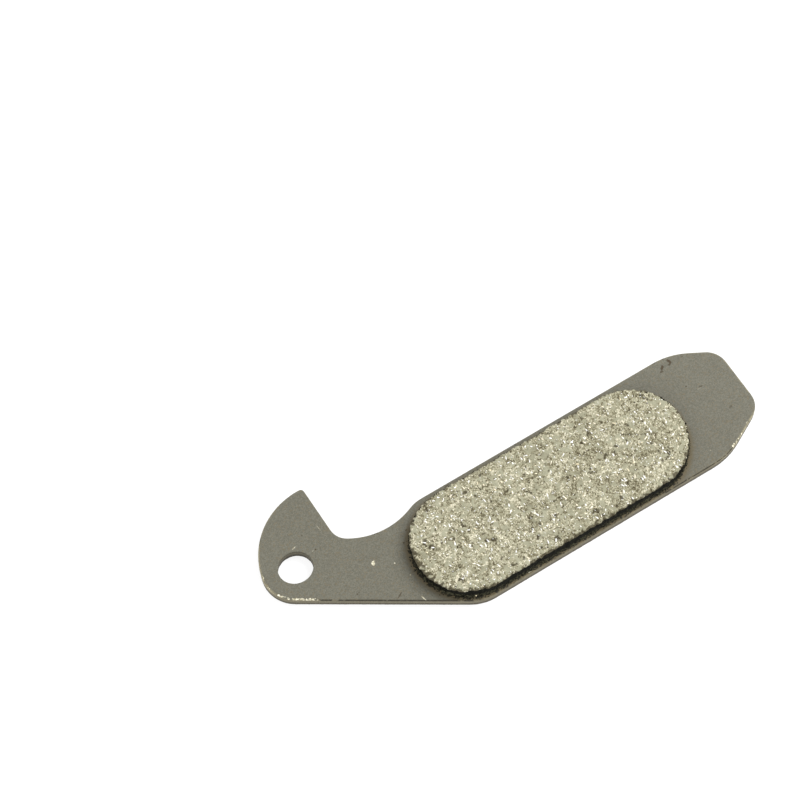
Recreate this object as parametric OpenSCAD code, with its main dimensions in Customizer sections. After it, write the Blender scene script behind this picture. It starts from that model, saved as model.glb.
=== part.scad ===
// Disc brake pad for a bicycle: a stamped steel backing plate with a hooked ear, and a moulded
// friction block whose two pegs fill the plate's keying holes.
// The origin is the pin hole's centre on the plate's back. X runs along the body to the nose,
// Y points to the hook's side and Z comes out of the friction face.

/* [Backing plate] */
// Thickness of the steel
plate_t = 1.8; // [1.2:0.1:3]
// Width of the straight body
body_w = 20; // [18:0.5:26]
// Pin hole centre to the flat end of the nose
nose_reach = 77.6; // [76:0.2:90]
// How far the body's upper edge lies below the pin hole's centre
edge_drop = 0.57; // [0.2:0.01:1.2]

/* [Pin ear] */
// Diameter of the hole for the retaining pin
pin_hole_d = 5.5; // [3:0.1:6.5]
// Radius of the ear's rim round the pin hole
ear_r = 5.5; // [5:0.1:6.5]
// Slope of the ear's straight lower edge
ear_slope = 32.7; // [30:0.1:36]
// Round corner between the sloping edge and the body's lower edge
ear_corner_r = 7.7; // [3:0.1:9]

/* [Hook] */
// Radius of the hook's outer curve
hook_r = 12.7; // [12:0.1:14]
// Direction from the pin hole's centre to the centre of the hook's outer curve
hook_turn = -13.3; // [-20:0.1:-8]
// Pin hole centre to the hook's straight inner edge
hook_inner_x = 8; // [7.4:0.1:9]
// Rounding of the hook's tip
hook_tip_r = 0.6; // [0.4:0.1:1.5]

/* [Notch] */
// Radius of the notch's long curve
notch_r = 12.2; // [11.6:0.1:12.8]
// Pin hole centre to the notch's centre, along the body
notch_x = 15.9; // [15.2:0.1:16.6]
// Depth of the notch below the body's upper edge
notch_depth = 1.4; // [1:0.1:2.4]
// Rounding where the hook's inner edge runs into the notch
notch_root_r = 3; // [1.5:0.1:4]
// Rounding where the notch runs out into the body's upper edge
notch_shoulder_r = 5.7; // [2:0.1:8]

/* [Nose] */
// Slope of the nose's lower side
nose_low_slope = 27.5; // [22:0.5:34]
// Height that the lower side gains up to the flat end
nose_low_rise = 4.7; // [3:0.1:5.6]
// Slope of the nose's upper side
nose_high_slope = 29; // [22:0.5:34]
// Height that the upper side loses down to the flat end
nose_high_rise = 3.9; // [3:0.1:5.6]
// Large roundings between the body's edges and the nose's sides
nose_blend_r = 12.4; // [6:0.1:14]
// Small roundings at the flat end
nose_tip_r = 3.6; // [1.5:0.1:4]

/* [Friction block] */
// Height of the block above the plate
block_h = 2.2; // [1:0.1:4]
// Length of the block at its foot
block_l = 49.4; // [40:0.2:50]
// Pin hole centre to the block's nearer end
block_start = 15.9; // [15.4:0.1:18]
// Strip of plate left free along the body's lower edge
low_margin = 0.45; // [0.3:0.05:1.5]
// Strip of plate left free along the body's upper edge
high_margin = 1.35; // [0.8:0.05:2]
// Lean of the block's side wall, for its way out of the mould
draft = 5; // [1:0.5:10]
// Rounding of the edge round the friction face
face_edge_r = 0.3; // [0.1:0.05:0.5]

/* [Keying holes] */
// Diameter of the holes that the friction material fills
key_d = 4.5; // [3:0.1:6]
// Distance between the two holes
key_pitch = 23.8; // [18:0.2:28]
// Shift of the pair from the block's middle, towards the hook
key_shift = 1.1; // [0:0.1:2]

/* [Hidden] */
$fn = 120;

// How far a cutter runs past what it cuts
past = 1;
// How far a rounding runs on past its ends, in degrees, and how far it stands proud
lap_angle = 8;
hair = 0.001;

top_y = -edge_drop;
low_y = top_y - body_w;
mid_y = (top_y + low_y) / 2;

foot_r = (body_w - low_margin - high_margin) / 2;
block_y = low_y + low_margin + foot_r;
first_end_x = block_start + foot_r;
last_end_x = block_start + block_l - foot_r;
face_r = foot_r - block_h * tan(draft);
keys_x = block_start + block_l / 2 - key_shift;

function heading(a) = [cos(a), sin(a)];
function bearing(p) = atan2(p.y, p.x);

// An arc is [centre, radius, first angle, last angle]
function arc_start(a) = a[0] + a[1] * heading(a[2]);
function arc_end(a) = a[0] + a[1] * heading(a[3]);

// Rounding of the corner p where an edge that heads along one direction turns left to another
function corner(p, from, to, r) =
    [p - r * tan((to - from) / 2) * heading(from) + r * heading(from + 90), r, from - 90, to - 90];

// The plate's outline runs anticlockwise, as arcs joined by straight edges
function ear_rim() = [[0, 0], ear_r, 180 + hook_turn, 270 - ear_slope];

function ear_corner() =
    let (touch = arc_end(ear_rim()))
    corner([touch.x + (touch.y - low_y) / tan(ear_slope), low_y], -ear_slope, 0, ear_corner_r);

function nose_low_blend() =
    corner([nose_reach - nose_low_rise / tan(nose_low_slope), low_y], 0, nose_low_slope, nose_blend_r);

function nose_low_tip() =
    corner([nose_reach, low_y + nose_low_rise], nose_low_slope, 90, nose_tip_r);

function nose_high_tip() =
    corner([nose_reach, top_y - nose_high_rise], 90, 180 - nose_high_slope, nose_tip_r);

function nose_high_blend() =
    corner([nose_reach - nose_high_rise / tan(nose_high_slope), top_y], 180 - nose_high_slope, 180,
        nose_blend_r);

function notch_centre() = [notch_x, top_y - notch_depth + notch_r];

function shoulder_centre() =
    let (c = notch_centre(), y = top_y - notch_shoulder_r)
    [c.x + sqrt((notch_r + notch_shoulder_r) ^ 2 - (c.y - y) ^ 2), y];

function root_centre() =
    let (c = notch_centre(), x = hook_inner_x + notch_root_r)
    [x, c.y - sqrt((notch_r - notch_root_r) ^ 2 - (c.x - x) ^ 2)];

function shoulder() =
    [shoulder_centre(), notch_shoulder_r, 90, 360 + bearing(notch_centre() - shoulder_centre())];

function notch() =
    [notch_centre(), notch_r, bearing(shoulder_centre() - notch_centre()),
        bearing(root_centre() - notch_centre())];

function notch_root() =
    [root_centre(), notch_root_r, bearing(root_centre() - notch_centre()), -180];

function hook_centre() = (hook_r - ear_r) * heading(hook_turn);

function hook_tip() =
    let (c = hook_centre(), x = hook_inner_x - hook_tip_r, reach = hook_r - hook_tip_r)
    let (tip = [x, c.y + sqrt(reach ^ 2 - (x - c.x) ^ 2)])
    [tip, hook_tip_r, 0, bearing(tip - c)];

function hook_back() = [hook_centre(), hook_r, hook_tip()[3], 180 + hook_turn];

roundings = [
    ear_rim(), ear_corner(), nose_low_blend(), nose_low_tip(), nose_high_tip(), nose_high_blend(),
    shoulder(), hook_tip()
];
outline = [
    ear_rim(), ear_corner(), nose_low_blend(), nose_low_tip(), nose_high_tip(), nose_high_blend(),
    shoulder(), notch(), notch_root(), hook_tip(), hook_back()
];

// The slice between an arc and its centre. A rounding laps over the edges that it joins: it runs
// on past both ends and stands proud by a hair, so that the two cross cleanly.
module slice(arc, start_lap = lap_angle, end_lap = lap_angle, proud = hair) {
    way = sign(arc[3] - arc[2]);
    ends = [arc[2] - way * start_lap, arc[3] + way * end_lap];
    low = min(ends);
    high = max(ends);
    beyond = 2 * arc[1];
    translate(arc[0])
        intersection() {
            circle(r = arc[1] + proud);
            polygon([
                [0, 0],
                beyond * heading(low),
                beyond / cos((high - low) / 2) * heading((low + high) / 2),
                beyond * heading(high)
            ]);
        }
}

module plate_outline() {
    difference() {
        union() {
            polygon([for (arc = outline) each [arc_start(arc), arc_end(arc)]]);
            slice(hook_back(), start_lap = 0, end_lap = 0, proud = 0);
            for (arc = roundings) slice(arc);
        }
        slice(notch(), end_lap = 0, proud = 0);
        slice(notch_root());
    }
}

module at_keys() {
    for (side = [-1, 1])
        translate([keys_x + side * key_pitch / 2, mid_y, 0])
            children();
}

module backing_plate() {
    color("#7d7b6c")
    difference() {
        linear_extrude(plate_t) plate_outline();
        translate([0, 0, -past]) cylinder(d = pin_hole_d, h = plate_t + 2 * past);
        at_keys() translate([0, 0, -past]) cylinder(d = key_d, h = plate_t + 2 * past);
    }
}

// Half of the block's cross-section: foot, drafted wall, rounded edge and half the face
module half_section() {
    edge = corner([face_r, block_h], 90 + draft, 180, face_edge_r);
    polygon([[0, 0], [foot_r, 0], arc_start(edge), arc_end(edge), [0, block_h]]);
    slice(edge);
}

module friction_block() {
    color("#b7b59a")
    union() {
        translate([0, block_y, plate_t]) {
            translate([first_end_x, 0, 0])
                rotate([0, 0, 90]) rotate_extrude(angle = 180) half_section();
            translate([last_end_x, 0, 0])
                rotate([0, 0, -90]) rotate_extrude(angle = 180) half_section();
            translate([first_end_x, 0, 0])
                rotate([90, 0, 90]) linear_extrude(last_end_x - first_end_x) {
                    half_section();
                    mirror([1, 0]) half_section();
                }
        }
        at_keys() cylinder(d = key_d, h = plate_t + block_h / 2);
    }
}

backing_plate();
friction_block();
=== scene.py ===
# %% [markdown]
# # A disc brake pad for a bicycle
# The real pad is two pieces made in two ways. A press stamps the backing plate out of steel
# sheet, and a hot mould presses the friction block onto it, through two holes that key it fast.
# The CAD model gives both shapes. This lesson gives them their surfaces: a stamped edge, a coat
# of paint with its chips, and a coarse compound full of metal.

# %% Load the fixed frame
import math
import random

import bmesh
import bpy
from mathutils import Matrix, Vector, noise
from mathutils.kdtree import KDTree


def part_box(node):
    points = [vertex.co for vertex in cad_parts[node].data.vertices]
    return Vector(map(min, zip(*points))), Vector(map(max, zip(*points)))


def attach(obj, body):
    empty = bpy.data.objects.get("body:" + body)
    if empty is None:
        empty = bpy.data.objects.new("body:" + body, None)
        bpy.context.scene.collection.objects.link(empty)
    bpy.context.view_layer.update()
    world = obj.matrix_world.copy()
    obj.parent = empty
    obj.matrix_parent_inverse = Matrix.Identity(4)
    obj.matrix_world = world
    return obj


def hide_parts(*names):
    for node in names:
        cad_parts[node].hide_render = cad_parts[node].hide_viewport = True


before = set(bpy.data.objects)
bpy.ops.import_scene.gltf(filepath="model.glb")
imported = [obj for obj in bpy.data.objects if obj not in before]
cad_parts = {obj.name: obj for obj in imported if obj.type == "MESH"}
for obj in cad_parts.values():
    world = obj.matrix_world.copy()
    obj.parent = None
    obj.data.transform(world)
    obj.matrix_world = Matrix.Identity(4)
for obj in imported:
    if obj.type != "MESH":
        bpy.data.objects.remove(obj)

bpy.context.view_layer.update()

# %% [markdown]
# ## Millimetres on the bench
# The frame is in metres, and a brake pad is a small thing. Every piece is modelled in
# millimetres, where the numbers can be read, and scaled once when it is finished. The object
# itself stays at the origin with its scale at one, so its place is in its mesh.

# %% Measures taken from the frame
MM = 0.001
PLATE_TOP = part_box("backing_plate")[1].z / MM
BLOCK_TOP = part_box("friction_block")[1].z / MM
print(f"plate {PLATE_TOP:.2f} mm thick, friction face at {BLOCK_TOP:.2f} mm")

# %% The block's sizes, from its CAD box and the part's own draft and rounding
low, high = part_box("friction_block")
DRAFT = math.radians(5)
FACE_EDGE = 0.3
FOOT_R = (high.y - low.y) / MM / 2
STRAIGHT = (high.x - low.x) / MM / 2 - FOOT_R
MIDDLE = (low + high) / MM / 2
FACE_R = FOOT_R - (BLOCK_TOP - PLATE_TOP) * math.tan(DRAFT)
print(f"foot {FOOT_R:.2f} mm, face {FACE_R:.2f} mm, straight half {STRAIGHT:.2f} mm")

# %% The keying holes, set out as the part sets them out
BODY_W = 20
KEY_R = 2.25
KEY_PITCH = 23.8
KEY_SHIFT = 1.1
keys_x = round(MIDDLE.x - KEY_SHIFT, 2)
keys_y = round(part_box("backing_plate")[0].y / MM + BODY_W / 2, 2)
KEYS = [(keys_x + side * KEY_PITCH / 2, keys_y) for side in (-1, 1)]
print("keying holes at", [(round(x, 2), y) for x, y in KEYS])

# %% The bands of the plate's edge, and the zone that belongs to the pin hole
ROLL = 0.08
TORN_TOP = 0.8
PIN_ZONE = 3.5
# Heights nearer than this belong to one ring of points
NEAR = 0.01


# %% Places seen from the block's spine
def flattened(point):
    return Vector((point.x, point.y, 0))


def spine(point):
    """The nearest point of the line between the middles of the two round ends."""
    reach = min(STRAIGHT, max(-STRAIGHT, point.x - MIDDLE.x))
    return Vector((MIDDLE.x + reach, MIDDLE.y, 0))


def off_spine(point):
    """The level way to this point from the nearest point of the spine."""
    return flattened(point - spine(point))


# %% Finishing a piece
def finish_piece(bm, name, material, replaced=None, flats=()):
    """A bmesh in millimetres becomes a piece in metres that rides with the pad. It is smooth
    but for its flats, and it stands for the CAD node that it replaces, if there is one."""
    flats = set(flats)
    for face in bm.faces:
        face.smooth = face not in flats
    bmesh.ops.scale(bm, vec=(MM, MM, MM), verts=bm.verts)
    mesh = bpy.data.meshes.new(name)
    bm.to_mesh(mesh)
    bm.free()
    mesh.materials.append(material)
    piece = bpy.data.objects.new(name, mesh)
    bpy.context.scene.collection.objects.link(piece)
    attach(piece, "root")
    if replaced:
        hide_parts(replaced)
    mesh.calc_loop_triangles()
    print(f"{name}: {len(mesh.vertices)} points, {len(mesh.loop_triangles)} triangles")


# %% [markdown]
# ## Shader maths in plain expressions
# A material is a graph of nodes, and a graph is hard to read as text. The class below wraps one
# socket and overloads the operators, so that 1 - mask adds the Math node it stands for. Every
# other node comes from its method node, which sets the node's settings first.

# %% One socket that can be calculated with
class Wire:
    """A socket of a material's graph. Sums, products and powers of wires add Math nodes."""

    def __init__(self, tree, socket=None):
        self.tree = tree
        self.socket = socket

    def node(self, kind, settings=None, inputs=None, out=0):
        """Adds a node, sets it up, feeds its sockets with values or wires, returns one output."""
        made = self.tree.nodes.new("ShaderNode" + kind)
        for name, value in (settings or {}).items():
            if name == "stops":
                ramp = made.color_ramp.elements
                while len(ramp) < len(value):
                    ramp.new(0.5)
                for element, (position, colour) in zip(ramp, value):
                    element.position = position
                    element.color = colour
            else:
                setattr(made, name, value)
        for name, value in (inputs or {}).items():
            if isinstance(value, Wire):
                self.tree.links.new(value.socket, made.inputs[name])
            else:
                made.inputs[name].default_value = value
        return Wire(self.tree, made.outputs[out])

    def math(self, operation, *values):
        return self.node("Math", {"operation": operation}, dict(enumerate(values)))

    def __add__(self, other):
        return self.math("ADD", self, other)

    def __sub__(self, other):
        return self.math("SUBTRACT", self, other)

    def __rsub__(self, other):
        return self.math("SUBTRACT", other, self)

    def __mul__(self, other):
        return self.math("MULTIPLY", self, other)

    def __truediv__(self, other):
        return self.math("DIVIDE", self, other)

    def __pow__(self, other):
        return self.math("POWER", self, other)

    def __neg__(self):
        return self * -1

    def __abs__(self):
        return self.math("ABSOLUTE", self)

    __radd__ = __add__
    __rmul__ = __mul__

    def most(self, other):
        return self.math("MAXIMUM", self, other)

    def least(self, other):
        return self.math("MINIMUM", self, other)

    def held(self):
        """The same value, held between 0 and 1."""
        return self.least(1.0).most(0.0)

    def rise(self, low, high):
        """0 below low and 1 above high, with a smooth way between. It falls if low is above."""
        if low > high:
            return 1 - self.rise(high, low)
        inputs = {"Value": self, "From Min": low, "From Max": high}
        return self.node("MapRange", {"interpolation_type": "SMOOTHSTEP"}, inputs)

    def mix(self, first, second):
        """Goes from the first colour to the second as this wire goes from 0 to 1."""
        return self.node("Mix", {"data_type": "RGBA"}, {0: self, 6: first, 7: second}, out=2)


# %% Patterns that every finish draws on
def rgb(red, green, blue):
    return (red, green, blue, 1.0)


class Finish(Wire):
    """The start of one material: its graph, its shader and its patterns, sized in millimetres."""

    def __init__(self, name):
        self.material = bpy.data.materials.new(name)
        self.material.use_nodes = True
        super().__init__(self.material.node_tree)
        self.shader = self.tree.nodes["Principled BSDF"]
        self.spot = self.scaled(self.node("TexCoord", out="Object"), 1 / MM)
        self.fray = None

    @property
    def ragged(self):
        """Fine noise around 0 that frays the border of a mask. Each graph has it at most once."""
        if self.fray is None:
            self.fray = (self.cloud(0.3, detail=3, shift=31) - 0.5) * 1.6
        return self.fray

    def scaled(self, wire, factor):
        stretch = factor if isinstance(factor, tuple) else (factor,) * 3
        return self.node("VectorMath", {"operation": "MULTIPLY"}, {0: wire, 1: stretch})

    def shifted(self, wire, shift):
        return self.node("VectorMath", {"operation": "ADD"}, {0: wire, 1: shift})

    def elsewhere(self, shift, where=None):
        """The place moved aside, so that no two patterns fall on each other."""
        return self.shifted(where or self.spot, (shift, shift * 0.7, shift * 0.3))

    def cloud(self, size, detail=2.0, shift=0.0, where=None, rough=0.5):
        """Soft noise from 0 to 1 around 0.5, whose lumps are about size millimetres across."""
        place = self.elsewhere(shift, where)
        inputs = {"Vector": place, "Scale": 1 / size, "Detail": detail, "Roughness": rough}
        return self.node("TexNoise", None, inputs)

    def cells(self, size, shift=0.0, channel="Red"):
        """Cells about size millimetres across, each with a value of its own from 0 to 1."""
        inputs = {"Vector": self.elsewhere(shift), "Scale": 1 / size}
        hue = self.node("TexVoronoi", None, inputs, out="Color")
        return self.node("SeparateColor", None, {0: hue}, out=channel)

    def length(self, where):
        return self.node("VectorMath", {"operation": "LENGTH"}, {0: where}, out="Value")

    def axis(self, letter):
        """The place along X, Y or Z, in millimetres."""
        return self.node("SeparateXYZ", None, {0: self.spot}, out=letter)

    def mark(self, x, y, long, wide, turn=0.0, z=0.0):
        """1 in a small ragged spot or streak at that place in millimetres, 0 outside it."""
        place = self.shifted(self.spot, (-x, -y, -z))
        inputs = {"Vector": place, "Angle": math.radians(-turn)}
        place = self.node("VectorRotate", {"rotation_type": "Z_AXIS"}, inputs)
        away = self.length(self.scaled(place, (2 / long, 2 / wide, 1.0)))
        return (away + self.ragged).rise(1.3, 0.8)

    def marked(self, colour, marks, paint, z=0.0):
        """Lays a list of marks over a colour. Each mark ends with its strength."""
        for *mark, strength in marks:
            colour = (self.mark(*mark, z=z) * strength).mix(colour, paint)
        return colour

    def stored(self, name):
        """A value that the modelling stored on the mesh's points."""
        return self.node("Attribute", {"attribute_name": name}, out="Fac")

    def feed(self, **sockets):
        """Sets the shader's sockets, named as Blender names them but with _ for a space."""
        for name, value in sockets.items():
            socket = self.shader.inputs[name.replace("_", " ")]
            if isinstance(value, Wire):
                self.tree.links.new(value.socket, socket)
            else:
                socket.default_value = value

    def bumps(self, height, depth):
        """Feeds the shader's normal with a relief that is depth millimetres deep."""
        self.feed(Normal=self.node("Bump", None, {"Distance": depth * MM, "Height": height}))

    def done(self):
        """Says how large the graph has become, and hands the material over."""
        print(f"{self.material.name}: {len(self.tree.nodes)} nodes")
        return self.material


# %% [markdown]
# ## The paint on the plate
# The plate wears a thin matt coat of grey with a touch of olive. Seen close it isn't even: the
# sprayed coat has a fine grain, a few brown specks and the odd pit. A press leaves a stamped
# edge in bands, smooth above where the punch sheared it and torn below, and steel shines where
# handling has chipped the rim. The bands need only the height above the back, so they read
# Object coordinates. The chips are dents in the mesh, so the mesh stores where they are, and
# where the rim is rubbed or dirty; that rubbing carries painted highlight and that dirt painted
# shade. The pin hole and the block's foot get painted shade as well. Over the first coat, each
# layer is a function that takes the coat as it is and returns it with one more thing laid over
# it. The last function says where the coat is gone.

# %% Marks that the photograph shows on the plate, in millimetres
BRIGHT_MARKS = [
    # x, y, length, width, turn in degrees, strength
    (10.65, -5.9, 0.76, 0.5, 60, 1.0),
    (1.5, 2.95, 0.7, 0.14, 12, 0.5),
    (14.1, -15.1, 0.9, 0.17, -75, 0.8),
    (13.5, -7.7, 0.22, 0.2, 0, 0.7),
    (14.5, -10.7, 0.24, 0.2, 0, 0.7),
    (3.75, 0.95, 0.3, 0.13, 10, 0.35),
    (6.6, 3.8, 1.5, 0.11, -84, 0.25),
    (71.2, -8.35, 0.6, 0.1, -10, 0.12),
    (66.4, -18.3, 0.2, 0.18, 0, 0.3),
    (30.5, -20.3, 0.5, 0.16, 0, 0.6),
]
DARK_MARKS = [
    # the same columns
    (4.25, 0.95, 0.34, 0.26, 0, 0.8),
    (3.7, 4.15, 0.26, 0.2, 60, 0.6),
    (5.75, -9.0, 0.36, 0.26, 0, 0.7),
    (6.15, -8.9, 0.26, 0.2, 0, 0.55),
    (11.25, -12.7, 1.0, 0.2, 28, 0.75),
    (5.05, -6.85, 0.28, 0.22, 0, 0.3),
    (3.25, -4.25, 0.26, 0.2, 0, 0.3),
    (4.7, 7.45, 0.24, 0.2, 0, 0.3),
    (69.85, -1.7, 1.0, 0.46, -70, 0.9),
    (69.6, -2.2, 0.6, 0.34, 20, 0.75),
    (68.25, -2.05, 0.9, 0.46, 40, 0.9),
    (67.8, -2.6, 0.6, 0.36, 0, 0.7),
    (67.6, -4.3, 0.26, 0.2, 0, 0.5),
    (69.6, -6.9, 0.3, 0.24, 0, 0.7),
    (71.6, -8.15, 0.7, 0.2, -10, 0.7),
    (72.1, -2.1, 0.4, 0.2, 20, 0.6),
    (73.1, -2.3, 0.25, 0.16, 0, 0.5),
    (73.6, -13.7, 0.6, 0.4, 20, 0.5),
    (27.5, -0.95, 0.9, 0.22, 0, 0.6),
    (18.05, -3.9, 0.32, 0.24, 0, 0.8),
    (16.55, -5.55, 0.34, 0.24, 60, 0.8),
    (17.75, -5.05, 0.26, 0.2, 0, 0.7),
]
BACK_MARKS = [
    # the same columns, for bright marks on the back
    (36.7, -11.9, 0.5, 0.35, 0, 0.9),
    (14.8, -12.6, 0.3, 0.2, 0, 0.8),
    (24.2, -5.8, 0.25, 0.2, 0, 0.7),
    (48.6, -6.0, 0.25, 0.2, 0, 0.7),
    (67.8, -9.5, 0.3, 0.2, 0, 0.7),
    (26.8, -15.3, 0.3, 0.2, 0, 0.7),
    (64.5, -12.3, 3.8, 0.12, 80, 0.5),
    (62.9, -14.2, 1.6, 0.1, 70, 0.5),
    (43.5, -9.4, 3.2, 0.08, -40, 0.25),
]


# %% The coat on the front
def sprayed_coat(paint, grain, dots):
    """A fine grain, warm dots, a slow drift, and the dark marks."""
    drift = paint.cloud(6.0, detail=2, shift=3) - 0.5
    tone = 0.5 + grain * 0.9 + dots * 0.65 + drift * 0.25
    coat = tone.mix(rgb(0.083, 0.079, 0.058), rgb(0.152, 0.147, 0.114))
    warm = paint.cells(0.22, shift=6).rise(0.8, 0.95)
    coat = (warm * 0.4).mix(coat, rgb(0.140, 0.108, 0.058))
    return paint.marked(coat, DARK_MARKS, rgb(0.042, 0.027, 0.011), z=PLATE_TOP)


# %% The back, which has lain on the piston
# Below the first height a finish begins to turn into the back's, and below the second it has
BACK_SIDE = (0.4, 0.2)


def rubbed_back(paint, height, dots, coat):
    """Browner than the front, rubbed and scratched."""
    worn = paint.cloud(0.4, detail=4, shift=13, rough=0.7) + dots * 0.3
    rubbed = worn.mix(rgb(0.048, 0.041, 0.026), rgb(0.125, 0.111, 0.074))
    coat = height.rise(*BACK_SIDE).mix(coat, rubbed)
    return paint.marked(coat, BACK_MARKS, rgb(0.36, 0.34, 0.25))


# %% The stamped wall
def stamped_wall(paint, height, coat):
    """Sheared steel above, torn steel below, and painted shade in the pin hole, lightest in one band
    down its wall.
    """
    streak = paint.cloud(0.14, detail=2, where=paint.scaled(paint.spot, (1, 1, 0.15)))
    shear = streak.mix(rgb(0.095, 0.083, 0.052), rgb(0.235, 0.208, 0.138))
    tear = paint.cloud(0.25, detail=3, shift=2)
    tear = tear.mix(rgb(0.034, 0.029, 0.018), rgb(0.145, 0.128, 0.084))
    border = height + (paint.cloud(1.2, shift=15) - 0.5) * 0.3
    wall = border.rise(TORN_TOP + 0.05, TORN_TOP - 0.1).mix(shear, tear)
    in_pin_hole = paint.length(paint.scaled(paint.spot, (1, 1, 0))).rise(PIN_ZONE, PIN_ZONE - 0.3)
    # Painted shade inside the pin hole: the wall is darkened, least in one band down it
    hole_shade = abs(height + (streak - 0.5) * 0.4 - 1.2).rise(0.08, 0.35) * 0.35 + 0.25
    wall = (in_pin_hole * hole_shade).mix(wall, rgb(0.024, 0.021, 0.012))
    edge = height.rise(PLATE_TOP - ROLL * 0.6, PLATE_TOP - ROLL) * height.rise(0.02, 0.1)
    return edge.mix(coat, wall)


# %% Dust, soot and painted shade round the block's foot
def dusty_shaded_foot(paint, height, dots, coat):
    """Thin brown dust all round, and more dust and black soot towards the near side, which also
    paint the block's shade on the plate.
    """
    past_end = paint.axis("X") - MIDDLE.x
    past_end = past_end - past_end.most(-STRAIGHT).least(STRAIGHT)
    beside = paint.axis("Y") - MIDDLE.y
    away = (past_end * past_end + beside * beside) ** 0.5
    near_side = ((-past_end - beside * 0.5) / away).rise(-0.4, 0.9)
    front = height.rise(PLATE_TOP - 0.3, PLATE_TOP - 0.1)
    # Towards the near side and the hook's end, where the block's shadow falls, the dust and the soot
    # are partly painted shade
    foot_dust_and_shade = away.rise(FOOT_R + 1.3, FOOT_R + 0.5) * near_side * front
    coat = (foot_dust_and_shade * (0.35 + dots * 0.5)).mix(coat, rgb(0.088, 0.066, 0.036))
    thin = away.rise(FOOT_R + 1.2, FOOT_R + 0.1) * (0.75 + paint.ragged * 0.7) * front
    coat = thin.held().mix(coat, rgb(0.118, 0.091, 0.042))
    thick = away.rise(FOOT_R + 0.75, FOOT_R - 0.1) * (near_side * 0.75 + 0.25)
    crumb = paint.cells(0.25, shift=8) * 0.8 + paint.ragged * 0.5 + 0.1
    soot_and_shade = (crumb + thick * 0.95).rise(0.98, 1.12) * thick.rise(0.0, 0.2) * front
    return (soot_and_shade * 0.95).mix(coat, rgb(0.013, 0.012, 0.007))


# %% Wear along the rims, with painted highlight and painted shade
def rims_worn_lit_and_shaded(paint, coat):
    """Warm and light where the rim is rubbed, partly painted highlight; dark where dirt lies, partly
    painted shade.
    """
    uneven = 1 + paint.ragged * 0.75
    # Rubbed rim: bare warm steel, partly painted highlight
    rub = (paint.stored("rub") * uneven).held()
    coat = rub.mix(coat, rub.mix(rgb(0.21, 0.178, 0.09), rgb(0.50, 0.45, 0.30)))
    # Dark rim: dirt, partly painted shade
    grime = (paint.stored("grime") * uneven).held()
    return (grime * 0.95).mix(coat, rgb(0.022, 0.018, 0.009))


def chipped_off(paint, dots):
    """1 where a chip or a bright mark has taken the coat off."""
    chipped = paint.stored("chip")
    chip = (chipped + paint.ragged * 0.45 + dots * 0.5).rise(0.4, 0.75) * chipped.rise(0.0, 0.3)
    for *mark, strength in BRIGHT_MARKS:
        chip = chip.most(paint.mark(*mark, z=PLATE_TOP) * strength)
    return chip


# %% All layers of the plate's finish
def plate_finish():
    paint = Finish("plate_paint")
    height = paint.axis("Z")
    grain = paint.cloud(0.2, detail=3, rough=0.7) - 0.5
    dots = paint.cells(0.16) - 0.5
    coat = sprayed_coat(paint, grain, dots)
    coat = rubbed_back(paint, height, dots, coat)
    coat = stamped_wall(paint, height, coat)
    coat = dusty_shaded_foot(paint, height, dots, coat)
    coat = rims_worn_lit_and_shaded(paint, coat)
    chip = chipped_off(paint, dots)
    steel = paint.cloud(0.3, detail=3, shift=9).rise(0.35, 0.65)
    coat = chip.mix(coat, steel.mix(rgb(0.32, 0.29, 0.19), rgb(0.86, 0.82, 0.65)))
    paint.feed(
        Base_Color=coat,
        Roughness=0.66 + grain * 0.3 - chip * 0.25,
        Metallic=chip * 0.35,
        Specular_IOR_Level=0.3,
    )
    paint.bumps(grain * 0.7 + paint.cloud(0.09, shift=4) * 0.3, 0.012)
    return paint.done()


PLATE_PAINT = plate_finish()

# %% [markdown]
# ## The compound of the block
# Semi-metallic compound is resin packed with steel fibre, brass, minerals and graphite. On the
# ground face the grains show as pale and dark specks between smoother patches, a crack runs
# through it, and the moulded side stays near black, blackest under the face's edge where shade
# is painted. One material does both, because they are one moulding: the mesh stores where its
# skin begins, and where the patches and the pits lie, with the painted shade of the rim.

# %% Light and dark of the ground face
CRACKS = [
    # x, y, length, width, turn in degrees, strength
    (57.2, -10.3, 5.0, 0.17, -32, 0.7),
]
GROUND_SHADES = [
    # place on the scale from dark to light, colour
    (0.0, rgb(0.075, 0.063, 0.037)),
    (0.22, rgb(0.150, 0.132, 0.079)),
    (0.45, rgb(0.266, 0.252, 0.166)),
    (0.62, rgb(0.318, 0.307, 0.218)),
    (0.82, rgb(0.415, 0.388, 0.280)),
    (0.98, rgb(0.62, 0.585, 0.45)),
]


def face_tone(mix, coarse, fine, patch):
    """Specks of two sizes, marks of the grinding, and areas of a few millimetres."""
    mottle = mix.cloud(0.6, detail=3, shift=2, rough=0.6) - 0.5
    lengthened = mix.scaled(mix.spot, (1, 0.14, 1))
    ground_by = mix.cloud(0.17, detail=2, shift=14, where=lengthened) - 0.5
    specks = coarse * 0.6 + fine * 0.6 + mottle * 0.9 + ground_by * 0.6
    broad = mix.cloud(3.0, detail=2, shift=21) - 0.5
    uneven = mix.cloud(1.3, detail=1, shift=27) - 0.5
    return 0.49 + specks * (1 - patch * 0.65) + broad * 0.65 + uneven * 0.5


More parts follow.
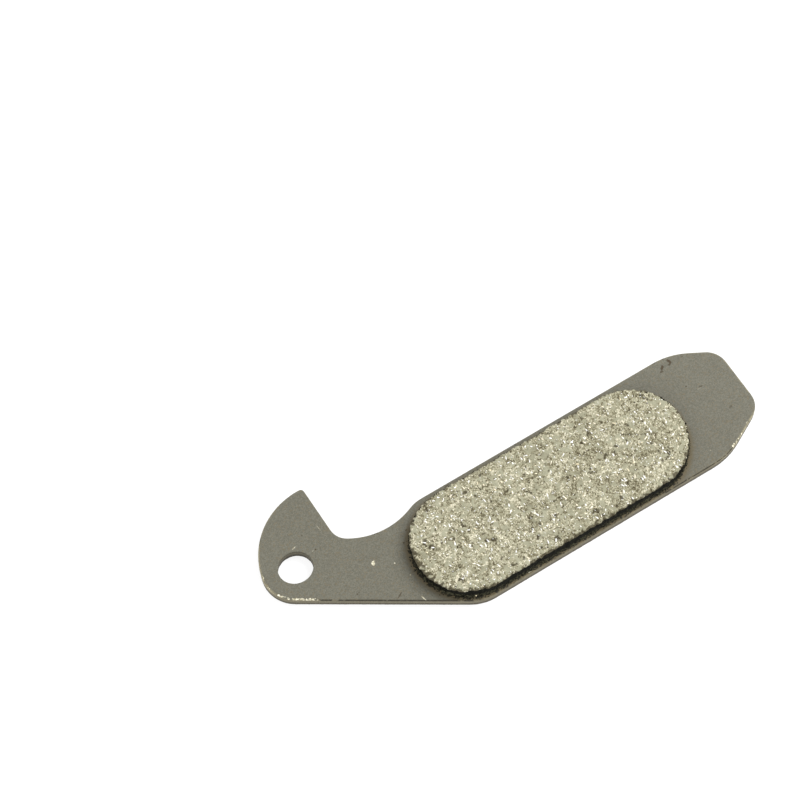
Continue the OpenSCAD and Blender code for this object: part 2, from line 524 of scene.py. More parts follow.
def ground_face(mix, tone, patch):
    """The face's colours, with pale patches, dark blotches, the crack, and the pits, which carry the
    rim's painted shade too.
    """
    ground = mix.node("ValToRGB", {"stops": GROUND_SHADES}, {0: tone})
    ground = (patch * 0.5).mix(ground, rgb(0.292, 0.290, 0.212))
    blotch = mix.cloud(0.9, detail=3, shift=33).rise(0.6, 0.72)
    ground = (blotch * 0.5).mix(ground, rgb(0.13, 0.117, 0.072))
    ground = mix.marked(ground, CRACKS, rgb(0.05, 0.043, 0.025), z=BLOCK_TOP)
    # The stored pits carry the dark rim as well, which is partly painted shade
    pit = (mix.stored("pit") + mix.ragged * 0.3).rise(0.2, 0.9)
    return (pit * 0.85).mix(ground, rgb(0.055, 0.046, 0.027))


# %% The moulded side and the block's whole finish
def moulded_side(mix, height, coarse, fine):
    """Near black, blackest under the face where painted shade of its edge is added, with olive dust
    that thickens toward the foot.
    """
    # Black at the top is painted shade under the face's edge; lower down the olive dust shows
    side_dust_and_shade = height.rise(PLATE_TOP + 1.3, PLATE_TOP) * 0.5 + mix.ragged * 0.35
    side_dust_and_shade = (coarse * 0.55 + fine * 0.3 + side_dust_and_shade).rise(0.25, 0.6)
    return side_dust_and_shade.mix(rgb(0.005, 0.005, 0.003), rgb(0.062, 0.060, 0.037))


def compound_finish():
    mix = Finish("friction_compound")
    height = mix.axis("Z")
    coarse = mix.cells(0.22) - 0.5
    fine = mix.cells(0.13, shift=3, channel="Green") - 0.5
    patch = (mix.stored("patch") + mix.ragged * 0.3).rise(0.3, 0.7)
    skin = (mix.stored("skin") + mix.ragged * 0.25).rise(0.4, 0.6)
    tone = face_tone(mix, coarse, fine, patch)
    colour = skin.mix(ground_face(mix, tone, patch), moulded_side(mix, height, coarse, fine))
    peg_ends = mix.cloud(0.4, detail=4, shift=5)
    peg_ends = peg_ends.mix(rgb(0.04, 0.034, 0.022), rgb(0.15, 0.136, 0.094))
    mix.feed(
        Base_Color=height.rise(*BACK_SIDE).mix(colour, peg_ends),
        Roughness=0.6 + mix.cloud(0.2, shift=11) * 0.2,
        Specular_IOR_Level=0.06,
    )
    mix.bumps(tone * 0.6 + mix.cloud(0.12, detail=2, shift=12) * 0.4, 0.04)
    return mix.done()


COMPOUND = compound_finish()

# %% The metal in the compound
def fleck_finish():
    """Pale steel, or brass where the sliver's stored tint is high."""
    metal = Finish("bare_metal")
    metal.feed(
        Base_Color=metal.stored("tint").mix(rgb(0.95, 0.945, 0.91), rgb(0.88, 0.77, 0.52)),
        Metallic=0.5,
        Roughness=0.3 + metal.cloud(0.2) * 0.2,
    )
    metal.bumps(metal.cloud(0.08, detail=2), 0.01)
    return metal.done()


BARE_METAL = fleck_finish()

# %% [markdown]
# ## The plate's outline
# The CAD node is a skin of loose triangles, and it stays untouched. A copy of it is merged, and
# all that is kept are the four rims of its flat back: the outline, the pin hole and the two
# keying holes. Cutting them into short steps gives the stamped edge room for its detail, and a
# little smoothing turns the chords back into curves.

# %% Take the rims from a merged copy
RIM_STEP = 0.14
SMOOTHINGS = 6
FACES_DOWN = -0.99


def by_cuts(bm):
    """The edges that are longer than a step, by the number of cuts that each needs."""
    found = {}
    for edge in bm.edges:
        cuts = round(edge.calc_length() / RIM_STEP) - 1
        if cuts > 0:
            found.setdefault(cuts, []).append(edge)
    return found


def back_rims(node):
    """The rims of the flat back of a CAD node, in short steps and without any face."""
    bm = bmesh.new()
    bm.from_mesh(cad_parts[node].data)
    bmesh.ops.scale(bm, vec=(1 / MM, 1 / MM, 1 / MM), verts=bm.verts)
    bmesh.ops.remove_doubles(bm, verts=bm.verts, dist=0.001)
    flat = {f for f in bm.faces if f.normal.z < FACES_DOWN}
    others = [e for e in bm.edges if len(flat.intersection(e.link_faces)) != 1]
    bmesh.ops.delete(bm, geom=others, context="EDGES")
    bmesh.ops.delete(bm, geom=list(bm.faces), context="FACES_ONLY")
    for cuts, edges in by_cuts(bm).items():
        bmesh.ops.subdivide_edges(bm, edges=edges, cuts=cuts)
    for _ in range(SMOOTHINGS):
        bmesh.ops.smooth_vert(bm, verts=bm.verts, factor=0.5, use_axis_x=True, use_axis_y=True)
    return bm


# %% Wear the pin hole faintly oval
PIN_WEAR = 0.11


def wear_pin_hole(bm):
    """The pin has rubbed its hole a little longer along the pad, and flattened it across."""
    ring = [v for v in bm.verts if v.co.xy.length < PIN_ZONE]
    radius = max(v.co.x for v in ring)
    stretch = Vector((1 + PIN_WEAR / radius, 1 - PIN_WEAR / radius, 1))
    bmesh.ops.scale(bm, vec=stretch, verts=ring)


plate = back_rims("backing_plate")
wear_pin_hole(plate)
print("rims:", len(plate.verts), "points,", len(plate.edges), "steps")

# %% [markdown]
# ## Walls and rims
# A punch draws the sheet's upper edge down into a small round roll, shears the steel smooth for
# half its thickness, and tears the rest. The wall is extruded from the rims in rings, so that
# each band has points of its own. The two flats are filled, and inset steps make the roll round
# the front and a hair of a chamfer round the back. Three more steps on the front give the chips
# and the rubbed strip beside the roll points to lie on; that strip also carries painted highlight.

# %% Raise the walls and close the flats
ROLL_STEPS = 3
FLAT_RINGS = (0.08, 0.12, 0.16)
CHAMFER = 0.05
WALL_RINGS = 13


def extruded(bm, edges):
    """Extrudes a ring of edges. Returns the points and the edges of the new ring."""
    grown = bmesh.ops.extrude_edge_only(bm, edges=edges)["geom"]
    points = {g for g in grown if isinstance(g, bmesh.types.BMVert)}
    ring = [g for g in grown if isinstance(g, bmesh.types.BMEdge) and points.issuperset(g.verts)]
    return list(points), ring


def raise_walls(bm, edges, height, rings):
    """Extrudes the rims upward by this height, and returns the edges of the last ring."""
    for _ in range(rings):
        points, edges = extruded(bm, edges)
        bmesh.ops.translate(bm, vec=(0, 0, height / rings), verts=points)
    return edges


def close_flat(bm, edges, up):
    """Fills the flat inside the outline, round its holes, and returns its faces."""
    grown = bmesh.ops.triangle_fill(bm, use_beauty=True, edges=edges, normal=(0, 0, up))["geom"]
    faces = [g for g in grown if isinstance(g, bmesh.types.BMFace)]
    turned = [f for f in faces if f.normal.z * up < 0]
    bmesh.ops.reverse_faces(bm, faces=turned)
    return faces


def inset_step(bm, faces, step_in, level):
    """Draws the flat in by one step and sets what is left of it at this height."""
    bmesh.ops.inset_region(
        bm, faces=faces, use_boundary=True, use_even_offset=True, thickness=step_in
    )
    for point in {v for f in faces for v in f.verts}:
        point.co.z = level


back_edges = list(plate.edges)
bmesh.ops.translate(plate, vec=(0, 0, CHAMFER), verts=plate.verts)
front_edges = raise_walls(plate, back_edges, PLATE_TOP - ROLL - CHAMFER, WALL_RINGS)
front = close_flat(plate, front_edges, 1)
for step in range(ROLL_STEPS):
    here, there = (math.radians(90 * k / ROLL_STEPS) for k in (step, step + 1))
    step_in = ROLL * (math.cos(here) - math.cos(there))
    inset_step(plate, front, step_in, PLATE_TOP - ROLL * (1 - math.sin(there)))
for step_in in FLAT_RINGS:
    inset_step(plate, front, step_in, PLATE_TOP)
back = close_flat(plate, back_edges, -1)
inset_step(plate, back, CHAMFER, 0)
bmesh.ops.recalc_face_normals(plate, faces=plate.faces)
plate.normal_update()
print("plate:", len(plate.verts), "points; open edges:", sum(not e.is_manifold for e in plate.edges))

# %% [markdown]
# ## The stamped edge
# Real detail at an edge is relief, so it is pushed into the mesh and not painted on. Each point
# of the wall moves in or out by a noise that suits its band: long upright drag lines where the
# steel was sheared, coarse hollows where it tore. Chips go where the real pad has them, thick
# round the ear and sparse along the body. They leave their strength on the points, so that the
# finish can show bare steel in exactly these dents, and rubbing with painted highlight and dirt
# with painted shade are stored beside them.

# %% Noise with a size
def lumps(point, size, seed=0.0):
    """Smooth noise from about -1 to 1, with lumps about size millimetres across."""
    return noise.noise((point + Vector((seed * 17.3, seed * 9.1, seed * 4.7))) / size)


def layered(point, layers, start=0.0):
    """Lumps of several sizes, added up. Each layer is its strength, its size and its seed."""
    for strength, size, seed in layers:
        start += strength * lumps(point, size, seed)
    return start


def rise(value, low, high):
    """0 below low, 1 above high, smooth between."""
    part = min(1.0, max(0.0, (value - low) / (high - low)))
    return part * part * (3 - 2 * part)


# %% Where handling has chipped and rubbed the rim, and where highlight and shade are painted on it
CHIPPED = [
    # centre of the place, its reach in millimetres, and how much of the rim is chipped there
    ((-5.3, 0.5), 3.0, 0.52),
    ((-3.9, -4.2), 2.3, 0.8),
    ((-1.6, -5.5), 2.4, 1.0),
    ((-3.0, 6.0), 3.5, 0.15),
    ((40.0, -20.6), 20.0, 0.1),
    ((72.4, -18.7), 4.0, 0.58),
]
CHIPPED_ELSEWHERE = 0.03
RUBBED_AND_LIT = [
    # centre of the place, its reach in millimetres, and how bare the rim is rubbed there, with
    # painted highlight
    ((-5.4, 2.5), 6.0, 0.85),
    ((-2.5, 7.0), 5.0, 0.6),
    ((72.6, -18.6), 5.5, 0.9),
    ((68.0, -20.4), 4.5, 0.85),
    ((77.6, -9.0), 6.5, 0.72),
    ((71.0, -2.0), 8.0, 0.66),
    ((-1.0, 8.5), 5.0, 0.66),
    ((64.0, -20.5), 10.0, 0.72),
    ((40.0, -20.6), 24.0, 0.4),
    ((10.0, -12.0), 9.0, 0.4),
]
RUBBED_AND_LIT_ELSEWHERE = 0.4
GRIMY_AND_SHADED = [
    # centre of the place, its reach in millimetres, and how dark the rim is there with dirt and
    # painted shade
    ((66.4, -20.4), 4.6, 1.0),
    ((60.5, -20.6), 6.0, 0.95),
    ((11.0, -14.0), 13.0, 1.0),
    ((3.5, -8.8), 4.5, 0.7),
    ((69.0, -1.6), 3.0, 0.5),
    ((40.0, -20.6), 24.0, 0.25),
]
GRIMY_AND_SHADED_ELSEWHERE = 0.06


def strongest(places, point, least):
    """The strength of the place that counts most at this point."""
    found = least
    for (x, y), reach, strength in places:
        away = math.hypot(point.x - x, point.y - y) / reach
        found = max(found, strength * (1 - rise(away, 0.6, 1.2)))
    return found


# %% How worn the rim is at a point
CHIP_GRAIN = ((0.45, 0.5, 1), (0.35, 0.27, 2))
DIRT_AND_SHADE_DASHES = ((0.6, 0.9, 7), (0.4, 0.35, 8))


def chip_at(point):
    """How deep a chip is at this point of the rim, from 0 to 1."""
    start = 1 - strongest(CHIPPED, point, CHIPPED_ELSEWHERE) * 0.75
    return rise(layered(point, CHIP_GRAIN, 0.5), start - 0.1, start + 0.25)


def dirt_and_shade_at(point):
    """How dark the rim is, from 0 to 1, with dirt and painted shade: dashes, nearly joined where it
    is grimy.
    """
    dashes = layered(point, DIRT_AND_SHADE_DASHES, 0.5)
    return rise(dashes + strongest(GRIMY_AND_SHADED, point, GRIMY_AND_SHADED_ELSEWHERE), 0.9, 1.3)


def wear_light_and_shade_at(point):
    """Chips, rubbing with painted highlight, and dirt with painted shade at this point, each from 0
    to 1. The pin hole has none.
    """
    if point.xy.length < PIN_ZONE:
        return 0.0, 0.0, 0.0
    return chip_at(point), strongest(RUBBED_AND_LIT, point, RUBBED_AND_LIT_ELSEWHERE), dirt_and_shade_at(point)


# %% What the finish will read from the plate's points
chip_store = plate.verts.layers.float.new("chip")
rub_and_highlight_store = plate.verts.layers.float.new("rub")
grime_and_shade_store = plate.verts.layers.float.new("grime")

# %% The wall: drag lines above, hollows below
TORN_HOLLOWS = ((1.0, 0.5, 4), (0.6, 0.25, 5))
TORN_DEPTH = 0.03
DRAG_DEPTH = 0.008


def press_wall(point, co, outward, rubbed, dirt_and_shade):
    torn = 1 - rise(co.z, TORN_TOP - 0.15, TORN_TOP + 0.1 + 0.1 * lumps(co, 2.0))
    drag = lumps(Vector((co.x, co.y, co.z * 0.2)), 0.22, 3)
    hollow = layered(co, TORN_HOLLOWS)
    depth = drag * DRAG_DEPTH * (1 - torn) + (hollow * TORN_DEPTH - TORN_DEPTH) * torn
    point.co += outward * depth
    upper_wall = rise(co.z + 0.3 * lumps(co, 0.6, 9), 1.0, 1.6)
    # The upper wall's rubbed steel is partly painted highlight, its dirt partly painted shade
    point[rub_and_highlight_store] = 0.95 * rubbed * upper_wall * rise(rubbed, 0.5, 0.9)
    point[grime_and_shade_store] = dirt_and_shade * rise(co.z, 1.35, 1.6)


# %% The rim: the roll and the strip of flat beside it
CHIP_DEPTH = 0.06
CHIP_SET_IN = 0.04
UNEVEN = 0.006

wall_tops = [v for v in plate.verts if abs(v.co.z - (PLATE_TOP - ROLL)) < NEAR]
rim_tree = KDTree(len(wall_tops))
for index, point in enumerate(wall_tops):
    rim_tree.insert(flattened(point.co), index)
rim_tree.balance()


def press_rim(point, co, outward, chip, rubbed, dirt_and_shade):
    inward = rim_tree.find(flattened(co))[2]
    chip = chip * (1 - rise(inward, 0.2, 0.45))
    point[chip_store] = chip
    on_roll = 1 - rise(co.z, PLATE_TOP - 0.02, PLATE_TOP)
    beside = rise(inward, 0.05, 0.1) * (1 - rise(inward, 0.14, 0.28))
    beside = beside * (0.2 + 0.35 * rise(rubbed, 0.5, 0.85))
    broken = 0.3 + 0.7 * rise(lumps(co, 0.32, 26), -0.4, -0.1)
    # On the roll and the strip beside it, the rubbing is partly painted highlight and the dirt
    # partly painted shade
    point[rub_and_highlight_store] = max(on_roll, beside) * rubbed * broken
    point[grime_and_shade_store] = dirt_and_shade * (1 - rise(inward, 0.08, 0.2))
    point.co -= outward * CHIP_SET_IN * chip + Vector((0, 0, CHIP_DEPTH * chip))
    point.co += outward * UNEVEN * lumps(co, 0.3, 6)


# %% Push the relief into the plate
flat_core = {v for f in front for v in f.verts}


def near_key(point):
    return any(math.hypot(point.x - x, point.y - y) < KEY_R + 1 for x, y in KEYS)


for point in plate.verts:
    co = point.co.copy()
    if near_key(co) or point in flat_core:
        continue
    outward = flattened(point.normal)
    chip, rubbed, dirt_and_shade = wear_light_and_shade_at(co)
    if CHAMFER < co.z < PLATE_TOP - ROLL + NEAR:
        press_wall(point, co, outward, rubbed, dirt_and_shade)
    if co.z > PLATE_TOP - ROLL - NEAR:
        press_rim(point, co, outward, chip, rubbed, dirt_and_shade)
print("chipped points:", sum(v[chip_store] > 0.5 for v in plate.verts))
finish_piece(plate, "stamped_plate", PLATE_PAINT, "backing_plate", front + back)

# %% [markdown]
# ## The friction block
# The block is a round-ended slab. A square grid can cover it without a pole or a seam: the
# middle stays square, and each end is pressed into a half disc, x to x*sqrt(1 - y*y/2) and the
# same for y. All cells stay near one size, which the relief needs. From the grid's border the
# side is drawn down in rings, out by the mould's draft, and the two pegs get grids of their own.

# %% A grid pressed into a round-ended shape
CELL = 0.125
PEG_CELL = 0.14


def pressed_grid(bm, middle, straight, radius, cell):
    """Adds a flat grid with round ends of that radius and sides of that half length."""
    columns, rows = (round(2 * reach / cell) for reach in (straight + radius, radius))
    made = bmesh.ops.create_grid(bm, x_segments=columns, y_segments=rows, size=1.0)["verts"]
    for point in made:
        x, y = point.co.x * (straight + radius), point.co.y
        past = max(0.0, abs(x) - straight) / radius
        flat = math.copysign(min(abs(x), straight), x)
        x = flat + math.copysign(radius * past * math.sqrt(1 - y * y / 2), x)
        point.co = middle + Vector((x, radius * y * math.sqrt(1 - past * past / 2), 0))
    return made


def border(bm, points):
    """The open edges of what these points carry."""
    chosen = set(points)
    return [e for e in bm.edges if e.is_boundary and chosen.issuperset(e.verts)]


# %% Face and side
EDGE_TURNS = (30, 60, 85)
SIDE_RINGS = 13
side_top = BLOCK_TOP - FACE_EDGE


def draw_ring(bm, edges, radius, height):
    """Extrudes the block's border into one more ring, at this radius and height."""
    points, ring = extruded(bm, edges)
    for point in points:
        out = off_spine(point.co).normalized()
        point.co = spine(point.co) + out * radius + Vector((0, 0, height))
    return ring


block = bmesh.new()
face_middle = Vector((MIDDLE.x, MIDDLE.y, BLOCK_TOP))
face = pressed_grid(block, face_middle, STRAIGHT, FACE_R - FACE_EDGE, CELL)
rim = border(block, face)
for turn in EDGE_TURNS:
    angle = math.radians(turn)
    radius = FACE_R - FACE_EDGE * (1 - math.sin(angle))
    rim = draw_ring(block, rim, radius, BLOCK_TOP - FACE_EDGE * (1 - math.cos(angle)))
for ring in range(1, SIDE_RINGS + 1):
    height = side_top + (PLATE_TOP - side_top) * ring / SIDE_RINGS
    rim = draw_ring(block, rim, FOOT_R - (height - PLATE_TOP) * math.tan(DRAFT), height)
print("face and side:", len(block.verts), "points")

# %% Pegs, and the underside that joins them to the block
PEG_RINGS = 3
foot_edges = list(rim)
for x, y in KEYS:
    end = pressed_grid(block, Vector((x, y, 0)), 0, KEY_R, PEG_CELL)
    foot_edges += raise_walls(block, border(block, end), PLATE_TOP, PEG_RINGS)
bmesh.ops.triangle_fill(block, use_beauty=True, edges=foot_edges, normal=(0, 0, -1))
bmesh.ops.recalc_face_normals(block, faces=block.faces)
block.normal_update()
print("block:", len(block.verts), "points; open edges:", sum(not e.is_manifold for e in block.edges))

# %% [markdown]
# ## The surface of the compound
# A ground face is not evenly rough. Its harder grains make flat plateaus at one height, and
# between them lie hollows and the pits of grains that broke out. So the noise only ever lowers
# the face. Toward the rim the compound crumbles, and the line of the edge is ragged and partly
# dark, with painted shade on the near side and at the hook's end. The side keeps the mould's
# skin, with shallow lumps, and a thin flash has squeezed out at the foot. Again the points store
# what the finish has to know.

# %% What the finish will read from the block's points
pit_and_rim_shade_store = block.verts.layers.float.new("pit")
skin_store = block.verts.layers.float.new("skin")
patch_store = block.verts.layers.float.new("patch")

# %% The patterns of the face
HOLLOWS = ((0.5, 0.95, 11), (0.5, 0.45, 12), (0.4, 0.28, 13), (0.25, 2.5, 10))
PITS = ((1.0, 0.85, 15), (0.5, 0.4, 16), (0.4, 2.4, 14))
PATCHES = ((0.65, 0.9, 31), (0.45, 0.42, 32))


def hollow_at(point):
    """How deep the hollows between the grains are here, from 0 to 1."""
    return rise(layered(point, HOLLOWS), -0.15, 0.55)


def pit_at(point):
    """How deep a pit is at this place of the face, from 0 to 1."""
    return rise(layered(point, PITS), 0.42, 0.85)


def patch_at(point):
    """Where a smooth pale grain lies, ground flat, from 0 to 1."""
    return rise(layered(point, PATCHES), 0.08, 0.28)


# %% The line of the edge
EDGE_LUMPS = ((0.12, 0.42, 18), (0.08, 0.24, 24), (0.15, 0.9, 17))
EDGE_OUT = 0.02
HOOK_END_OUT = 0.28
NOSE_END_OUT = 0.1
FAR_SIDE_OUT = 0.24
RIM_DASHES = ((1.0, 0.5, 20), (0.5, 0.27, 25))


def ragged_at(point):
    """How far the edge line stands out or in at this place, in millimetres."""
    at_end = rise(abs(point.x - MIDDLE.x) - STRAIGHT, 4.0, 8.0)
    end_out = HOOK_END_OUT if point.x < MIDDLE.x else NOSE_END_OUT
    far_out = FAR_SIDE_OUT * rise(point.y - MIDDLE.y, 0.0, FACE_R)
    return layered(flattened(point), EDGE_LUMPS) + EDGE_OUT + end_out * at_end + far_out


def dark_rim_at(flat, out, inside):
    """How dark the broken rim is here, from 0 to 1: crumbled compound, with painted shade where the
    rounded edge turns from the light. It is widest on the near side and at the hook's end."""
    near_side = rise(-out.y - 0.3 * out.x, -0.2, 0.6)
    hook_end = rise(-out.x, 0.86, 0.98)
    reach = 0.42 + 0.1 * near_side + 0.15 * hook_end
    if inside >= reach:
        return 0.0
    dashes = layered(flat, RIM_DASHES) + 0.15 * near_side + 0.22 * hook_end
    return rise(dashes + 0.85 * (reach - inside) / reach, 0.4, 0.85)


# %% Hollows, pits and the crumbled rim
HOLLOW_DEPTH = 0.06
PIT_DEPTH = 0.16
CRUMBLED_DEPTH = 0.14
CRUMBLED_WIDTH = 0.6


def press_face(point, co, out, inside):
    """The ground face and its rounded edge, this far inside the block's rim."""
    flat = flattened(co)
    pit = pit_at(co)
    patch = patch_at(co) * (1 - pit)
    hollow = HOLLOW_DEPTH * hollow_at(co) * (1 - 0.8 * patch)
    toward_rim = (CRUMBLED_WIDTH - inside) / CRUMBLED_WIDTH
    crumbled = rise(toward_rim + 0.8 * lumps(flat, 0.5, 19), 0.7, 1.3)
    point.co.z -= hollow + PIT_DEPTH * pit + CRUMBLED_DEPTH * crumbled
    point.co += out * ragged_at(co) * rise(0.5 - inside, 0, 0.3)
    point[patch_store] = patch
    # The dark rim is stored with the pits: crumbled compound and painted shade
    point[pit_and_rim_shade_store] = max(pit, dark_rim_at(flat, out, inside))
    point[skin_store] = rise((FACE_EDGE - min(inside, FACE_EDGE)) / FACE_EDGE, 0.6, 1.3)


# %% The moulded side, the flash at its foot and the pegs' ends
SKIN_LUMPS = ((0.06, 0.5, 21), (0.05, 0.28, 22))
SIDE_FLASH = 0.2
FOOT_FLASH = 0.22


def flash_at(flat):
    return rise(lumps(flat, 0.8, 23), -0.2, 0.5)


def press_side(point, co, out):
    """Lumps in the skin, the edge's ragged line above and the flash below."""
    up = rise(co.z, PLATE_TOP + 0.3, BLOCK_TOP - 0.4)
    down = 1 - rise(co.z, PLATE_TOP + 0.1, PLATE_TOP + 0.5)
    flash = down * SIDE_FLASH * flash_at(flattened(co))
    point.co += out * (up * ragged_at(co) + layered(co, SKIN_LUMPS) + flash)
    point[skin_store] = 1.0


def press_foot(point, co, out, inside):
    point[skin_store] = 1.0
    if inside < 0:
        point.co += out * FOOT_FLASH * flash_at(flattened(co))


def press_peg_end(point, co):
    """The pegs' ends lie a hair inside the plate's back, and are a little rough."""
    point.co.z += 0.02 + 0.03 * hollow_at(co) + 0.05 * pit_at(co)


# %% Push the relief into the block
for point in block.verts:
    co = point.co.copy()
    out = off_spine(co)
    inside = FACE_R - out.length
    out.normalize()
    if co.z > side_top - NEAR:
        press_face(point, co, out, inside)
    elif co.z > PLATE_TOP + NEAR:
        press_side(point, co, out)
    elif co.z > PLATE_TOP - NEAR:
        press_foot(point, co, out, inside)
    elif co.z < NEAR:
        press_peg_end(point, co)
print("pitted points:", sum(v[pit_and_rim_shade_store] > 0.5 for v in block.verts))
finish_piece(block, "friction_compound", COMPOUND, "friction_block")

# %% [markdown]
# ## Steel fibre and brass chips
# The bright flecks are cut metal that lies in the face. Each is a small closed sliver with a few
# faces, a cone with blunt ends that is pressed flat, turned at random and sunk so that only its
# back shows. A random source with a fixed seed gives the same flecks at each run.

# %% One sliver, and a random place for it
draw = random.Random(8)
flecks = bmesh.new()
tint_store = flecks.verts.layers.float.new("tint")
SLIVER_SIDES = 6


def random_spot(margin):
    """A random place on the face, at least this margin inside its rim."""
    while True:
        x = draw.uniform(-STRAIGHT - FACE_R, STRAIGHT + FACE_R) + MIDDLE.x
        y = draw.uniform(-FACE_R, FACE_R) + MIDDLE.y
        spot = Vector((x, y, BLOCK_TOP))
        if off_spine(spot).length < FACE_R - margin:
            return spot


def add_sliver(spot, length, width, thick, sink):
    """One blunt sliver that lies on its side at the spot, sunk by that much."""
    made = bmesh.ops.create_cone(
        flecks, cap_ends=True, cap_tris=False, segments=SLIVER_SIDES,
        radius1=width / 2, radius2=width * draw.uniform(0.1, 0.4), depth=length,
    )["verts"]
    lie = Matrix.Rotation(math.radians(90), 4, "Y")
    squash = Matrix.Diagonal((1, 1, thick / width, 1))
    roll = Matrix.Rotation(draw.gauss(0, 0.12), 4, "X")
    tilt = roll @ Matrix.Rotation(draw.gauss(0, 0.06), 4, "Y")
    angle = draw.gauss(1.7, 0.4) if draw.random() < 0.6 else draw.uniform(0, math.tau)
    turn = Matrix.Rotation(angle, 4, "Z")
    place = Matrix.Translation(spot - Vector((0, 0, sink)))
    bmesh.ops.transform(flecks, matrix=place @ turn @ tilt @ squash @ lie, verts=made)
    tint = float(draw.random() < 0.3) * draw.uniform(0.5, 1.0)
    for point in made:
        point[tint_store] = tint


# %% Scatter the flecks over the face, and one on the side wall
FLECKS = [
    # how many, margin to the rim, least and most length, least and most width, thickness, sink
    (300, 0.5, (0.25, 0.7), (0.16, 0.3), 0.12, 0.03),
    (1000, 0.2, (0.12, 0.3), (0.08, 0.15), 0.09, 0.022),
]
SIDE_FLECK = Vector((21.1, -19.2, 2.2))

for count, margin, lengths, widths, thick, sink in FLECKS:
    for _ in range(count):
        spot = random_spot(margin)
        add_sliver(spot, draw.uniform(*lengths), draw.uniform(*widths), thick, sink)
add_sliver(SIDE_FLECK, 0.34, 0.24, 0.2, 0)
bmesh.ops.recalc_face_normals(flecks, faces=flecks.faces)
finish_piece(flecks, "metal_flecks", BARE_METAL)

# %% [markdown]
# ## Crumbs at the foot and the rim
# Where the mould closed on the plate, crumbs of compound stuck along the foot. They are small
# faceted lumps, half sunk in the plate's paint, thickest round the end beside the notch. Others
# hang on the face's rim, where the grinding broke it.

# %% One crumb
crumbs = bmesh.new()
crumb_skin = crumbs.verts.layers.float.new("skin")


def add_crumb(spot, size, skin):
    """One faceted lump. Its skin says whether it is pale like the face or black like the side."""
    made = bmesh.ops.create_icosphere(crumbs, subdivisions=1, radius=size)["verts"]
    stretch = (draw.uniform(0.7, 1.3), draw.uniform(0.7, 1.3), draw.uniform(0.5, 0.9), 1)
    turn = Matrix.Rotation(draw.uniform(0, math.tau), 4, "Z")
    place = Matrix.Translation(spot)
    bmesh.ops.transform(crumbs, matrix=place @ turn @ Matrix.Diagonal(stretch), verts=made)
    for point in made:
        point[crumb_skin] = skin


def toward(angle):
    """One millimetre in that direction of the plate, in degrees."""
    angle = math.radians(angle)
    return Vector((math.cos(angle), math.sin(angle), 0))


# %% Crumbs on the face's rim, along the far side and round both ends
RIM_CRUMBS = 560
CRUMB_GROUPS = ((1.0, 1.6, 41), (0.6, 0.6, 42))
OUT_OF_RIM = 9.5

for _ in range(RIM_CRUMBS):
    along = draw.uniform(-STRAIGHT - 8, STRAIGHT + 9.5)
    beyond = Vector((along + MIDDLE.x, MIDDLE.y + OUT_OF_RIM, 0))
    if draw.random() < 0.3:
        beyond = MIDDLE + Vector((STRAIGHT, 0, 0)) + toward(draw.uniform(-60, 60)) * 9
    out = off_spine(beyond).normalized()
    spot = spine(beyond) + out * (FACE_R + draw.uniform(-0.1, 0.12))
    if layered(spot, CRUMB_GROUPS) < -0.05:
        continue
    spot.z = BLOCK_TOP - draw.uniform(0.08, 0.3)
    add_crumb(spot, draw.uniform(0.06, 0.15), draw.uniform(0.45, 0.85))

# %% Crumbs on the plate, round the block's foot
FOOT_CRUMBS = 260
HOOK_END = Vector((MIDDLE.x - STRAIGHT, MIDDLE.y, 0))
NOSE_END = Vector((MIDDLE.x + STRAIGHT, MIDDLE.y, 0))

for _ in range(FOOT_CRUMBS):
    angle = draw.gauss(205, 38)
    reach = FOOT_R + abs(draw.gauss(0.05, 0.28))
    middle = HOOK_END
    if draw.random() < 0.4:
        angle = draw.uniform(-100, 100)
        reach = FOOT_R + abs(draw.gauss(0.02, 0.12))
        middle = NOSE_END
    size = draw.uniform(0.03, 0.11)
    spot = middle + toward(angle) * reach
    spot.y = max(spot.y, MIDDLE.y - FOOT_R - 0.2)
    spot.z = PLATE_TOP + size * 0.25
    add_crumb(spot, size, 1.0)
bmesh.ops.recalc_face_normals(crumbs, faces=crumbs.faces)
finish_piece(crumbs, "foot_crumbs", COMPOUND)

# %% [markdown]
# ## Floor, light and camera
# The pad lies on a floor that glows a little, like a light table, so that the floor comes out
# white and keeps no more than a trace of shadow. Soft light comes from all sides. A large window
# behind the pad on the right leaves the block's near side dark, and a weak fill stands opposite.
# The camera stands as the photograph's did, found by fitting the plate's outline: 64 degrees
# above the floor and half a metre away, with a long lens.

# %% The floor
FLOOR_REACH = 3.0
FLOOR_DROP = 0.02 * MM
FLOOR_GREY = 0.24
FLOOR_GLOW = 0.8

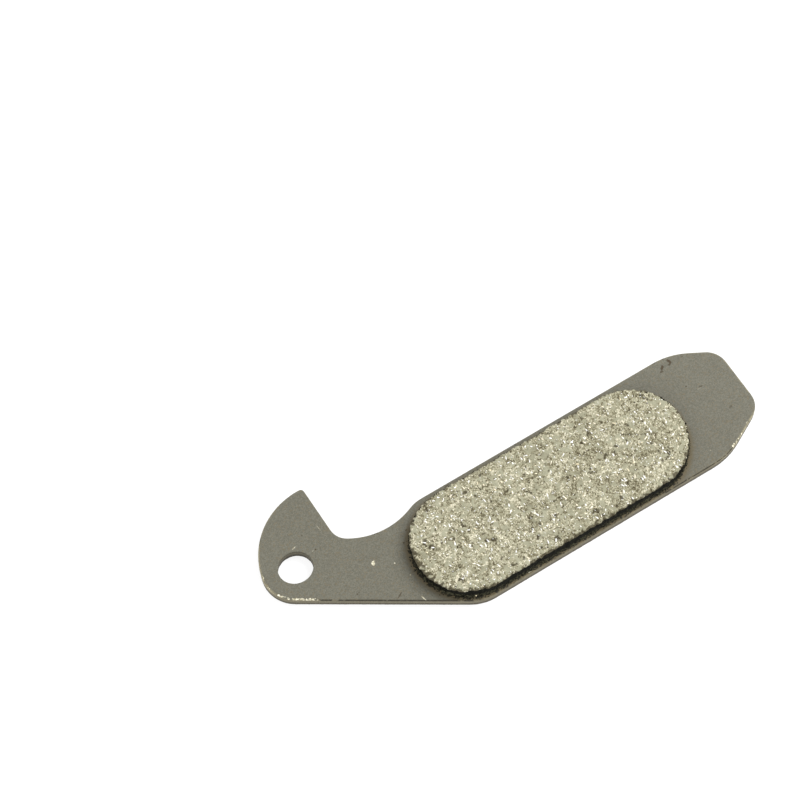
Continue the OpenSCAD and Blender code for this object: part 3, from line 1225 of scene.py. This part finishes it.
floor_mesh = bpy.data.meshes.new("floor")
floor_bm = bmesh.new()
bmesh.ops.create_grid(floor_bm, x_segments=1, y_segments=1, size=FLOOR_REACH)
bmesh.ops.translate(floor_bm, vec=(0, 0, -FLOOR_DROP), verts=floor_bm.verts)
floor_bm.to_mesh(floor_mesh)
floor_bm.free()
floor = bpy.data.objects.new("floor", floor_mesh)
bpy.context.scene.collection.objects.link(floor)
pale = Finish("pale_floor")
pale.feed(
    Base_Color=rgb(FLOOR_GREY, FLOOR_GREY, FLOOR_GREY),
    Roughness=0.9,
    Emission_Color=rgb(1.0, 1.0, 1.0),
    Emission_Strength=FLOOR_GLOW,
)
floor_mesh.materials.append(pale.done())

# %% The camera
LOOK_AT = Vector((29.935, 16.556, 0)) * MM
DISTANCE = 487.2 * MM
ELEVATION = math.radians(63.94)
PAD_TURN = math.radians(32.528)
SENSOR = 36.0
LENS = 135.93

ahead = Vector((math.sin(PAD_TURN), math.cos(PAD_TURN), 0))
aside = Vector((math.cos(PAD_TURN), -math.sin(PAD_TURN), 0))
up = Vector((0, 0, 1))


def face_pad(thing):
    """Turns a camera or a light towards the place that the camera looks at."""
    thing.rotation_euler = (LOOK_AT - thing.location).to_track_quat("-Z", "Y").to_euler()


camera_data = bpy.data.cameras.new("photo_view")
camera_data.sensor_width = SENSOR
camera_data.lens = LENS
camera_data.clip_start = 10 * MM
camera = bpy.data.objects.new("photo_view", camera_data)
camera.location = LOOK_AT + DISTANCE * (up * math.sin(ELEVATION) - ahead * math.cos(ELEVATION))
face_pad(camera)
bpy.context.scene.collection.objects.link(camera)
bpy.context.scene.camera = camera
print("camera at", [round(x / MM) for x in camera.location], "mm")


# %% The lights
def softbox(name, right, back, height, size, watts):
    """A square area light, placed in metres as the camera sees it, that faces the pad."""
    data = bpy.data.lights.new(name, "AREA")
    data.size = size
    data.energy = watts
    light = bpy.data.objects.new(name, data)
    light.location = LOOK_AT + aside * right + ahead * back + up * height
    face_pad(light)
    bpy.context.scene.collection.objects.link(light)
    print(f"{name}: {watts} W over {size} m")


softbox("window", right=0.4, back=0.25, height=0.5, size=0.4, watts=4.3)
softbox("fill", right=-0.6, back=-0.7, height=0.5, size=0.6, watts=1.5)

# %% The light tent
world = bpy.data.worlds.new("light_tent")
bpy.context.scene.world = world
world.use_nodes = True
tent = world.node_tree.nodes["Background"]
tent.inputs["Color"].default_value = rgb(1.0, 1.0, 1.0)
tent.inputs["Strength"].default_value = 1.0
bpy.context.scene.view_settings.view_transform = "Standard"

# %% [markdown]
# ## Finish

# %% Finish
bpy.context.view_layer.update()
